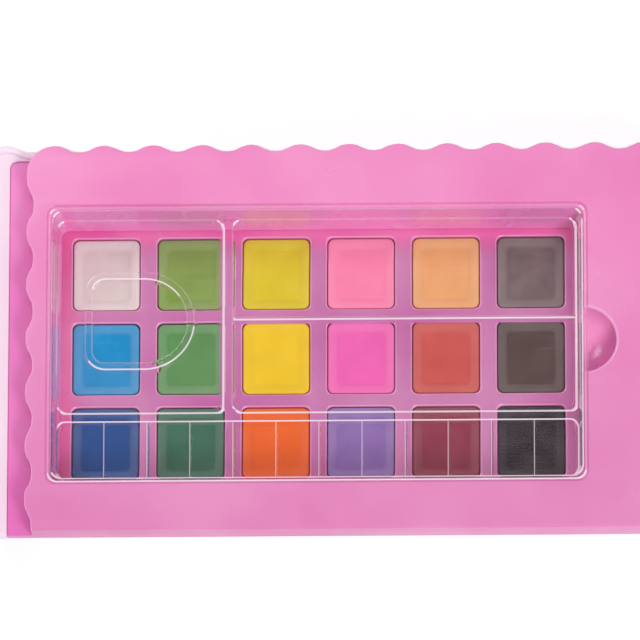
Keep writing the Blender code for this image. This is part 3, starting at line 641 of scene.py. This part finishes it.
def clearPlastic(name, colour, clear, shine):
    made, tree, shader = newMaterial(name)
    shader.inputs["IOR"].default_value = clearLook["ior"]
    shader.inputs["Transmission Weight"].default_value = clear
    shader.inputs["Coat Weight"].default_value = shine
    shader.inputs["Coat IOR"].default_value = clearLook["coatIor"]
    shader.inputs["Coat Roughness"].default_value = clearLook["gloss"]
    wear = useGroup(tree, handling, Amount=clearLook["wear"])
    tone = blend(tree, wear.outputs["Dust"], (*colour, 1), (0.93, 0.9, 0.92, 1))
    tree.links.new(tone, shader.inputs["Base Color"])
    rough = sums(tree, "MULTIPLY_ADD", wear.outputs["Scratch"], 0.25, clearLook["gloss"])
    tree.links.new(rough, shader.inputs["Roughness"])
    ripple = noise(tree, addNode(tree, "TexCoord").outputs["Object"], 120.0, 1.0)
    bump(tree, shader, ripple, 0.2, 0.00005)
    through = addNode(tree, "BsdfTransparent")
    path = addNode(tree, "LightPath")
    either = sums(tree, "MAXIMUM", path.outputs["Is Shadow Ray"], path.outputs["Is Diffuse Ray"])
    mix = addNode(tree, "MixShader")
    tree.links.new(either, mix.inputs["Fac"])
    tree.links.new(shader.outputs["BSDF"], mix.inputs[1])
    tree.links.new(through.outputs["BSDF"], mix.inputs[2])
    tree.links.new(mix.outputs["Shader"], tree.nodes["Material Output"].inputs["Surface"])
    return made


clearBody = clearPlastic("clearBody", clearLook["colour"], clearLook["clear"], clearLook["shine"])
highlightColour = clearLook["highlightColour"]
clearEdgeHighlight = clearPlastic("clearEdgeHighlight", highlightColour, clearLook["highlightClear"], clearLook["edgeShine"])
clearSoftHighlight = clearPlastic("clearSoftHighlight", highlightColour, clearLook["softClear"], clearLook["softShine"])

paints = {
    # cake: colour, mottle, how much painted highlight lightens the rim
    "navy": ((0.002, 0.070, 0.275), 0.4, 0.3), "dark_green": ((0.03, 0.15, 0.08), 0.4, 0.3),
    "orange": ((0.88, 0.125, 0.0), 0.3, 0.12), "purple": ((0.27, 0.150, 0.435), 0.35, 0.3),
    "maroon": ((0.28, 0.025, 0.063), 0.4, 0.2), "black": ((0.019, 0.009, 0.016), 0.5, 0.12),
    "sky_blue": ((0.008, 0.30, 0.61), 0.35, 0.35), "green": ((0.105, 0.30, 0.085), 0.4, 0.35),
    "yellow": ((0.91, 0.60, 0.0), 0.25, 0.06), "magenta": ((0.92, 0.12, 0.47), 0.25, 0.3),
    "terracotta": ((0.615, 0.08, 0.065), 0.35, 0.25), "umber": ((0.082, 0.044, 0.038), 0.5, 0.3),
    "white": ((0.72, 0.63, 0.595), 0.3, 0.9), "olive": ((0.225, 0.358, 0.063), 0.35, 0.3),
    "ochre": ((0.755, 0.61, 0.007), 0.3, 0.1), "pink": ((0.99, 0.245, 0.44), 0.2, 0.25),
    "peach": ((0.86, 0.42, 0.158), 0.25, 0.25), "taupe": ((0.178, 0.126, 0.122), 0.7, 0.35),
}


def paintMaterial(name, colour, mottle, rimHighlight):
    made, tree, shader = newMaterial("paint_" + name)
    pressed = useGroup(tree, pressedPaint, Colour=(*colour, 1), Mottle=mottle, Rubbed=rimHighlight)
    tree.links.new(pressed.outputs["Colour"], shader.inputs["Base Color"])
    tree.links.new(pressed.outputs["Roughness"], shader.inputs["Roughness"])
    bump(tree, shader, pressed.outputs["Height"], 0.5, 0.00005)
    shader.inputs["Specular IOR Level"].default_value = 0.14
    return made


def steelMaterial():
    made, tree, shader = newMaterial("steelPin")
    shader.inputs["Metallic"].default_value = 1.0
    drawn = addNode(tree, "Mapping")
    drawn.inputs["Scale"].default_value = (6000, 300, 6000)
    tree.links.new(addNode(tree, "TexCoord").outputs["Object"], drawn.inputs["Vector"])
    lines = noise(tree, drawn.outputs[0], 1.0, 3.0)
    steel = blend(tree, lines, (0.50, 0.50, 0.52, 1), (0.72, 0.72, 0.73, 1))
    tree.links.new(steel, shader.inputs["Base Color"])
    tree.links.new(spread(tree, lines, 0.3, 0.7, 0.22, 0.4), shader.inputs["Roughness"])
    bump(tree, shader, lines, 0.3, 0.00002)
    return made


steelPin = steelMaterial()
makeWorld()
makeFloor()
print("finishes and floor made")

# The recess, which the insert, tray and palette share

recess = {
    "box": (-0.07575, 0.0596, -0.038275, 0.034025),
    "corner": 0.0024,
    "rebateWidth": 0.0009,
    "rebateFall": 0.0011,
    "wallSlope": 0.0018 / 0.0134,
    "floor": 0.0065,  # the tray's top
}
overrun = 0.002  # how far a cutter reaches past the face that it cuts
hair = 1e-5  # for picking what lies on a plane

# Formed insert panel: scalloped field, brims, recess and finger notch

waves = {"rise": 0.00085, "sidePitch": 0.0139, "firstTip": 0.041125, "steps": 24, "fullness": 1.2}
insert = {
    "half": 0.080125,
    "far": 0.048775,
    "near": -0.050275,
    "corner": 0.007,
    "top": 0.021,
    "seat": 0.0144,
    "sheet": 0.001,
    "edge": 0.0004,
    "rimEdge": 0.0004,
    "brimOuter": 0.08547,
    "brimInner": 0.078,
    "brimFar": 0.047145,
    "brimCorner": 0.0015,
    "brimEdge": 0.0003,
    "apronFoot": 0.0126,
    "apronSetback": 0.0002,
    "notchMiddle": (0.0584, -0.00175),
    "notchRadius": 0.0087,
    "notchFloor": 0.0022,
    "notchFall": 0.0068,
    "notchRound": 0.001,
    "notchLip": 0.0005,
    "farWaves": 12,
    "footGap": 0.0003,
    "ledgeRound": 0.0002,
    "formedShare": 0.8,  # the sheet thins to this share where it is drawn
    "brimLap": 0.00005,  # the brims stand this far in front of the apron
    "smooth": 35,
}


def scallopedPlate(name, half, far, near, corner, farWaves, z):
    # plate with far corners rounded and waves on three sides, moved phase by phase
    rise, steps, pitch = waves["rise"], waves["steps"], waves["sidePitch"]
    run = half + rise - corner
    farPitch = 2 * run / farWaves
    bumps = int((waves["firstTip"] - near) / pitch + 0.5)
    lastValley = waves["firstTip"] - (bumps - 0.5) * pitch
    piece = addPlate(name, (-half - rise, half + rise, near, far + rise), z)
    pick("VERT", lambda m, v: m.y > 0)
    bpy.ops.mesh.bevel(offset=corner, segments=14, affect="VERTICES")
    for y in (waves["firstTip"], lastValley):
        bpy.ops.mesh.select_all(action="SELECT")
        bpy.ops.mesh.bisect(plane_co=(0, y, 0), plane_no=(0, 1, 0))
    pick("EDGE", lambda m, e: m.y > far + rise - hair and abs(m.x) < 10 * hair)
    bpy.ops.mesh.subdivide(number_cuts=farWaves * steps - 1)
    pick("EDGE", lambda m, e: abs(m.x) > half and lastValley < m.y < waves["firstTip"])
    bpy.ops.mesh.subdivide(number_cuts=round((bumps - 0.5) * steps) - 1)
    for phase in range(1, steps // 2 + 1):
        full = waves["fullness"]
        crest = math.tanh(full * math.cos(2 * math.pi * phase / steps)) / math.tanh(full)
        drop = rise * (1 - crest)
        phases = (phase, steps - phase)
        pick(
            "VERT",
            lambda m, v: m.y > far - 2 * rise and abs(m.x) < run + hair
            and round((run - m.x) / farPitch * steps) % steps in phases,
        )
        bpy.ops.transform.translate(value=(0, -drop, 0))
        for side in (-1, 1):
            pick(
                "VERT",
                lambda m, v: m.x * side > half - 2 * rise
                and lastValley - hair < m.y < waves["firstTip"] + hair
                and round((waves["firstTip"] - m.y) / pitch * steps) % steps in phases,
            )
            bpy.ops.transform.translate(value=(-side * drop, 0, 0))
    for side in (-1, 1):
        pick("VERT", lambda m, v: m.x * side > 0 and m.y < lastValley - 10 * hair)
        bpy.ops.transform.translate(value=(-side * 2 * rise, 0, 0))
    pickAllFaces()
    return piece


def sharp(edge, degrees=50):
    return len(edge.link_faces) == 2 and edge.calc_face_angle(0) > math.radians(degrees)


def addRing(name, middle, radius, z):
    clearPick()
    bpy.ops.mesh.primitive_circle_add(
        vertices=72, radius=radius, fill_type="NGON", location=(0, 0, 0)
    )
    piece = bpy.context.object
    piece.name = name
    bpy.ops.object.mode_set(mode="EDIT")
    bpy.ops.transform.translate(value=(*middle, z))
    return piece


def buildInsert():
    top, seat, foot = insert["top"], insert["seat"], recess["floor"] + insert["footGap"]
    piece = scallopedPlate(
        "insertField", insert["half"], insert["far"], insert["near"], insert["corner"],
        insert["farWaves"], foot,
    )
    raiseFaces(seat - foot)
    raiseFaces(top - seat)
    pick("EDGE", lambda m, e: m.z > seat + hair and sharp(e))
    bpy.ops.mesh.bevel(offset=insert["edge"], segments=5, affect="EDGES", clamp_overlap=False)
    closePiece(piece)
    ledge = top - recess["rebateFall"]
    wide = recess["rebateWidth"]
    wallFoot = wide + (ledge - foot + overrun) * recess["wallSlope"]
    rim, soft = insert["rimEdge"], insert["ledgeRound"]
    levels = (
        [(foot - overrun, wallFoot)]
        + roundOff(ledge - soft, wide, ledge, wide - soft, 3)
        + roundUp(ledge, soft, ledge + soft, 0, 3)
        + roundOff(top - rim, 0, top, -rim)
        + [(top + overrun, -rim)]
    )
    carve(piece, roundedBlock("recessCutter", recess["box"], recess["corner"], levels, 10))
    middle, ring = Vector(insert["notchMiddle"]), insert["notchRadius"]
    low = top - insert["notchFall"]
    shoulder, lip = top - insert["notchRound"], insert["notchLip"]
    inward = insert["notchRound"] * 0.4
    cutter = addRing("notchCutter", insert["notchMiddle"], insert["notchFloor"], low)
    box = (middle.x - ring, middle.x + ring, middle.y - ring, middle.y + ring)
    levels = roundUp(low, ring - insert["notchFloor"], shoulder, inward, 12)
    levels += roundOff(shoulder, inward, top, -lip, 6)[1:] + [(top + overrun, -lip)]
    raiseLevels(box, levels)
    closePiece(cutter)
    carve(piece, cutter)
    openPiece(piece)
    pick("FACE", lambda m, f: m.z < foot + hair)
    bpy.ops.mesh.delete(type="FACE")
    around = shrunk(recess["box"], -0.0005)
    # under the seat only the walls of the recess and the bowl of the notch stay
    pick(
        "FACE",
        lambda m, f: m.z < seat - hair
        and not within(m, around)
        and (Vector(m[:2]) - middle).length > ring + 0.001,
    )
    bpy.ops.mesh.delete(type="FACE")
    holdPiece(piece)
    bpy.ops.object.modifier_add(type="SOLIDIFY")
    piece.modifiers[-1].thickness = insert["sheet"] * insert["formedShare"]
    piece.modifiers[-1].offset = -1
    applyLast(piece)
    high, edge = seat + insert["sheet"], insert["brimEdge"]
    near = insert["near"] + insert["apronSetback"]
    outer = insert["brimOuter"]
    box = (-outer, outer, near, near + insert["sheet"])
    apron = roundedBlock("apron", box, soft, [(insert["apronFoot"], 0), (high - edge, 0)], 2)
    for side in (-1, 1):
        ends = sorted((side * insert["brimInner"], side * outer))
        box = (*ends, near - insert["brimLap"], insert["brimFar"])
        levels = [(seat, 0)] + roundOff(high - edge, 0, high, edge)
        carve(apron, roundedBlock("brim", box, insert["brimCorner"], levels, 6), "UNION")
    joinPieces(piece, apron)
    smoothPiece(insert["smooth"])
    finish(piece, "insertPanelFine", moulded["pinkSheet"], ["insert_panel"], "case")
    wall = shrunk(recess["box"], -0.0006)

    def atSide(m):
        return abs(m.x) > insert["half"] - 0.002

    def fromNotch(m):
        return (Vector(m[:2]) - middle).length

    giveFaces(piece, moulded["pinkStrip"], lambda m, f: m.z < high + hair and atSide(m))
    # painted light on the recess walls
    giveFaces(
        piece,
        moulded["pinkWallLit"],
        lambda m, f: abs(f.normal.z) < 0.5 and m.z < top - 0.0004 and within(m, wall),
    )
    # painted shade in the notch's bowl
    giveFaces(
        piece,
        moulded["pinkBowlShaded"],
        lambda m, f: fromNotch(m) < ring - 0.0003 and m.x > wall[1] - 0.0005,
    )
    # painted highlight on the rounded field edges and the notch rim
    giveFaces(
        piece,
        moulded["pinkRimHighlight"],
        lambda m, f: 0.25 < f.normal.z < 0.97 and m.z > top - 0.0009
        and (atSide(m) or abs(fromNotch(m) - ring) < 0.0006),
    )


buildInsert()

# Paint tray and the 18 pressed cakes

tray = {
    "box": (-0.07455, 0.0584, -0.037075, 0.032825),
    "corner": 0.002,
    "bottom": 0.0018,
    "wellFloor": 0.0026,
    "wellGap": 0.00035,
    "wellEdge": 0.0005,
    "footRound": 0.0003,
    "topRound": 0.0004,
    "smooth": 35,
}
cake = {
    "length": 0.0164,
    "depth": 0.0181,
    "pitch": (0.02136, 0.0221),
    "corner": 0.0016,
    "bottom": 0.0029,
    "top": 0.0059,
    "edge": 0.0004,
    "spread": 0.00015,  # pressed out towards the well's wall
    "border": 0.0027,
    "dish": 0.0009,
    "smooth": 40,
}
rows = (
    ("navy", "dark_green", "orange", "purple", "maroon", "black"),
    ("sky_blue", "green", "yellow", "magenta", "terracotta", "umber"),
    ("white", "olive", "ochre", "pink", "peach", "taupe"),
)


def cakePlaces():
    middle = middleOf(recess["box"])
    for row, names in enumerate(rows):
        for column, name in enumerate(names):
            x = middle[0] + (column - 2.5) * cake["pitch"][0]
            y = middle[1] + (row - 1) * cake["pitch"][1]
            yield name, (x, y)


def cakeBox(x, y):
    halfLength, halfDepth = cake["length"] / 2, cake["depth"] / 2
    return (x - halfLength, x + halfLength, y - halfDepth, y + halfDepth)


def buildTray():
    top, gap, edge = recess["floor"], tray["wellGap"], tray["wellEdge"]
    low, foot, crown = tray["bottom"], tray["footRound"], tray["topRound"]
    levels = roundUp(low, foot, low + foot, 0, 3) + roundOff(top - crown, 0, top, crown)
    piece = roundedBlock("trayPlate", tray["box"], tray["corner"], levels)
    places = list(cakePlaces())
    (x0, y0) = places[0][1]
    levels = [(tray["wellFloor"], -gap)] + roundOff(top - edge, -gap, top, -gap - edge)
    levels += [(top + overrun, -gap - edge)]
    cutter = roundedBlock("wellCutter", cakeBox(x0, y0), cake["corner"], levels)
    copies = [movedCopy(cutter, (x - x0, y - y0)) for name, (x, y) in places[1:]]
    carve(piece, joinPieces(cutter, *copies))
    holdPiece(piece)
    smoothPiece(tray["smooth"])
    finish(piece, "panTrayFine", moulded["pinkTray"], ["pan_tray"], "case")
    inside = shrunk(tray["box"], 0.001)
    # painted highlight on the rounded well edges
    giveFaces(
        piece,
        moulded["trayRimHighlight"],
        lambda m, f: m.z > top - edge - hair and 0.1 < f.normal.z < 0.98 and within(m, inside),
    )


def buildCakes():
    # one cake is pressed, softened and copied; its rim slopes to a flat dish
    places = list(cakePlaces())
    (x0, y0) = places[0][1]
    top, edge = cake["top"], cake["edge"]
    low, border = top - cake["dish"], cake["border"]
    out = cake["spread"]
    levels = (
        [(cake["bottom"], 0)]
        + roundOff(top - edge, -out, top, edge - out, 4)
        + [(top - 0.00012, edge + 0.0007)]  # the rim falls slowly, then turns into the dish
        + [(low + 0.0002, border - 0.0005), (low + 0.00005, border - 0.00015)]
        + [(low, border + 0.0002), (low, border + 0.0014)]
    )
    first = roundedBlock("cake", cakeBox(x0, y0), cake["corner"], levels)
    smoothPiece(cake["smooth"])
    for name, (x, y) in places:
        copy = movedCopy(first, (x - x0, y - y0))
        made = paintMaterial(name, *paints[name])
        finish(copy, "cakeFine_" + name, made, ["cake_" + name], "case")
    bpy.data.objects.remove(first)


buildTray()
buildCakes()

# Clear lift-out palette: bead, drafted walls, three pockets, twelve cells, lipped thumb hole

palette = {
    "box": (-0.07545, 0.0593, -0.037975, 0.033525),
    "top": 0.021,
    "bead": 0.0202,
    "web": 0.0162,
    "floor": 0.0135,
    "bottom": 0.0126,
    "rimEdge": 0.00035,
    "topInset": 0.0011,
    "webInset": 0.002,
    "footRound": 0.0006,
    "beadRound": 0.00015,
    "pocketCorner": 0.0022,
    "pocketDraft": 0.0005,
    "pocketEdge": 0.0004,
    "boldEdge": 0.0010,  # the near and right rims are rounder
    "pocketFillet": 0.0004,
    "divider": 0.0015,
    "split": -0.03105,
    "ridge": 0.005625,
    "ridgeWidth": 0.0010,
    "ridgeFoot": 0.0004,
    "ridgeFall": 0.0003,
    "stripFar": -0.020975,
    "cellFirst": 0.01215,
    "cellPitch": 0.010755,
    "cellDivider": 0.0004,
    "cellEdge": 0.00015,
    "cellFall": 0.0001,
    "cellFoot": 0.0003,
    "cellEnd": 0.0002,
    "cells": 12,
    "stripEdge": 0.00035,
    "stripDraft": 0.0004,
    "stripFillet": 0.0005,
    "sunk": 0.0004,  # how far an added wall reaches into the sheet
    "tightCorner": 0.0001,
    "smooth": 35,
    "thumbLeft": -0.06435,
    "thumbFar": 0.01585,
    "thumbLength": 0.02355,
    "thumbWidth": 0.02145,
    "thumbCorner": 0.0028,
    "thumbLip": 0.0021,
    "lipEdge": 0.00038,
    "trayCorner": 0.0028,
    "stripCorner": 0.002,
}


def thumbBox(outset):
    left, far = palette["thumbLeft"], palette["thumbFar"]
    box = (left, left + palette["thumbLength"], far - palette["thumbWidth"], far)
    return shrunk(box, -outset)


def thumbBlock(name, outset, levels):
    # a D with its straight side to the left
    box = thumbBox(outset)
    first = levels[0][1]
    piece = addPlate(name, shrunk(box, first), levels[0][0])
    pick("VERT", lambda m, v: m.x > middleOf(box)[0])
    half = palette["thumbWidth"] / 2 + outset - first
    bpy.ops.mesh.bevel(offset=half * 0.9995, segments=28, affect="VERTICES")
    pick("VERT", lambda m, v: m.x < box[0] + first + 10 * hair)
    corner = palette["thumbCorner"] + outset - first
    bpy.ops.mesh.bevel(offset=corner, segments=8, affect="VERTICES")
    pickAllFaces()
    raiseLevels(box, levels)
    return closePiece(piece)


def pocketBlock(box, corner, draft, fillet, edge, floor, web):
    # drafted walls, soft foot, and a flare that leaves the rim round
    inner = shrunk(box, edge)
    levels = roundUp(floor, draft + fillet, floor + fillet, draft, 4)
    levels += roundOff(web - edge, 0, web, -edge, 4) + [(web + overrun / 2, -edge)]
    return roundedBlock("pocketCutter", inner, corner, levels, 8)


def buildPalette():
    top, web, floor, bottom = palette["top"], palette["web"], palette["floor"], palette["bottom"]
    box, bead = palette["box"], palette["bead"]
    foot = recess["rebateWidth"] + (bead - bottom) * recess["wallSlope"]
    wide = recess["rebateWidth"]
    edge = palette["rimEdge"]
    soft, under = palette["footRound"], palette["beadRound"]
    levels = (
        roundUp(bottom, foot + soft, bottom + soft, foot - 0.0001)
        + [(bead, wide)]
        + roundUp(bead, under, bead + under, 0, 2)
        + roundOff(top - edge, 0, top, edge)
    )
    piece = roundedBlock("paletteBody", box, recess["corner"], levels, 10)
    slope = (palette["webInset"] - palette["topInset"]) / (top - web)
    lipStart, lipEnd = palette["topInset"] + edge * slope, palette["topInset"] - edge * 0.8
    levels = [(web, palette["webInset"])] + roundOff(top - edge, lipStart, top, lipEnd)
    levels += [(top + overrun / 2, lipEnd)]
    carve(piece, roundedBlock("trayCutter", box, palette["trayCorner"], levels, 10))
    left, right, near, far = shrunk(box, palette["webInset"])
    pocketNear = palette["stripFar"] + palette["divider"]
    rightStart = palette["split"] + palette["divider"]
    slim, bold = palette["pocketEdge"], palette["boldEdge"]
    corner, more = palette["pocketCorner"], bold - slim
    draft, fillet = palette["pocketDraft"], palette["pocketFillet"]
    tools = []
    for start, end in ((left, palette["split"]), (rightStart, right)):
        main = (start, end - more, pocketNear + more, far)
        tools.append(pocketBlock(main, corner, draft, fillet, slim, floor, web))
        flare = (start + bold + more, end - bold, pocketNear + bold, far - bold - more)
        levels = roundOff(web - bold, 0, web, -bold, 6) + [(web + overrun / 2, -bold)]
        tools.append(roundedBlock("rimFlare", flare, corner * 0.6, levels, 8))
    strip = (left, right, near, palette["stripFar"])
    corner, edge = palette["stripCorner"], palette["stripEdge"]
    draft, fillet = palette["stripDraft"], palette["stripFillet"]
    tools.append(pocketBlock(strip, corner, draft, fillet, edge, floor, web))
    for tool in tools:
        carve(piece, tool)
    # the low ridge between the two right pockets
    sunk, tight = palette["sunk"], palette["tightCorner"]
    half, crest = palette["ridgeWidth"] / 2, web - palette["ridgeFall"]
    soft = half * 0.8
    ridge = (rightStart + slim, right - slim, palette["ridge"] - half, palette["ridge"] + half)
    levels = [(floor - sunk, -palette["ridgeFoot"])] + roundOff(crest - soft, 0, crest, soft, 5)
    carve(piece, roundedBlock("ridge", ridge, tight, levels, 2), "UNION")
    # the walls between the twelve small cells
    half, edge, crest = palette["cellDivider"] / 2, palette["cellEdge"], web - palette["cellFall"]
    foot, end = palette["cellFoot"], palette["cellEnd"]
    walls = []
    for k in range(palette["cells"] - 1):
        x = left + palette["cellFirst"] + k * palette["cellPitch"]
        wall = (x - half, x + half, near + end, palette["stripFar"] - end)
        levels = [(bottom + foot, -foot)] + roundOff(crest - edge, 0, crest, edge)
        walls.append(roundedBlock("cellWall", wall, tight, levels, 2))
    carve(piece, joinPieces(*walls), "UNION")
    lip = palette["lipEdge"]
    levels = [(bottom + sunk, -sunk)] + roundOff(web - lip, 0, web, lip)
    carve(piece, thumbBlock("thumbLip", palette["thumbLip"], levels), "UNION")
    levels = (
        [(bottom - overrun, -sunk)]
        + roundUp(bottom, -sunk, bottom + sunk, 0, 3)
        + roundOff(web - lip, 0, web, -lip)
        + [(web + overrun, -lip)]
    )
    carve(piece, thumbBlock("thumbHole", 0, levels))
    finish(piece, "paletteFine", clearBody, ["palette"], "palette")
    thumb = thumbBox(palette["thumbLip"] + 0.0009)

    def isEdge(m, f):
        return 0.4 < f.normal.z < 0.99 and m.z > floor + 0.001

    def catchesLight(m, f):
        # the rims that face the far lamp, the near bead, and the near side of the thumb lip get the
        # painted highlight
        facing = Vector(f.normal[:2])
        if not isEdge(m, f) or facing.length < 1e-6:
            return False
        facing.normalize()
        if within(m, thumb):
            return facing.dot(Vector((0.25, -0.97))) > 0.35
        # the near bead, and painted glints in the corners
        if m.y < box[2] + 0.0025 or (abs(facing.x) > 0.42 and abs(facing.y) > 0.42):
            return True  # near bead, and glints in the corners
        if m.y > box[3] - 0.004 or m.x < box[0] + 0.003:
            return False
        if abs(facing.y) > 0.9 and m.x > rightStart and abs(m.y - palette["ridge"]) < 0.0012:
            return facing.y < 0
        onStripRim = facing.y < -0.4 and abs(m.y - palette["stripFar"]) < 0.0006
        return facing.y > 0.4 or facing.x < -0.6 or onStripRim

    def isRightWall(m, f):
        # seen steeply, it gets the weaker painted highlight as a little painted haze
        return m.x > box[1] - 0.0022 and abs(f.normal.z) < 0.35

    giveFaces(piece, clearSoftHighlight, lambda m, f: isEdge(m, f) or isRightWall(m, f))
    giveFaces(piece, clearEdgeHighlight, catchesLight)
    openPiece(piece)
    closePiece(piece)
    smoothPiece(palette["smooth"])


buildPalette()

# Shell, lid, clasp and pins: merged copies of the CAD forms, with their edges broken

edges = {
    "shell": 0.00018,
    "lid": 0.0001,
    "clasp": 0.00025,
    "pin": 0.0002,
    "segments": 2,
    "sharpFrom": 50,  # degrees
    "smooth": 35,
}


def finerCopy(nodeName, name, width, material, body):
    piece = copyPiece(nodes[nodeName])
    openPiece(piece)
    bpy.ops.mesh.select_all(action="SELECT")
    bpy.ops.mesh.remove_doubles(threshold=0.000002)
    bpy.ops.mesh.dissolve_limited(angle_limit=math.radians(0.5))
    holdPiece(piece)
    bpy.ops.object.modifier_add(type="BEVEL")
    step = piece.modifiers[-1]
    step.width = width
    step.segments = edges["segments"]
    step.limit_method = "ANGLE"
    step.angle_limit = math.radians(edges["sharpFrom"])
    step.use_clamp_overlap = False
    applyLast(piece)
    smoothPiece(edges["smooth"])
    finish(piece, name, material, [nodeName], body)


milky = moulded["milkyShell"]
finerCopy("case_base", "caseBaseFine", edges["shell"], milky, "case")
finerCopy("lid", "lidFine", edges["lid"], milky, "lid")
finerCopy("clasp", "claspFine", edges["clasp"], milky, "clasp")
for pinName in ("clasp_pin", "hinge_pin_far", "hinge_pin_near"):
    finerCopy(pinName, pinName + "_fine", edges["pin"], steelPin, "case")
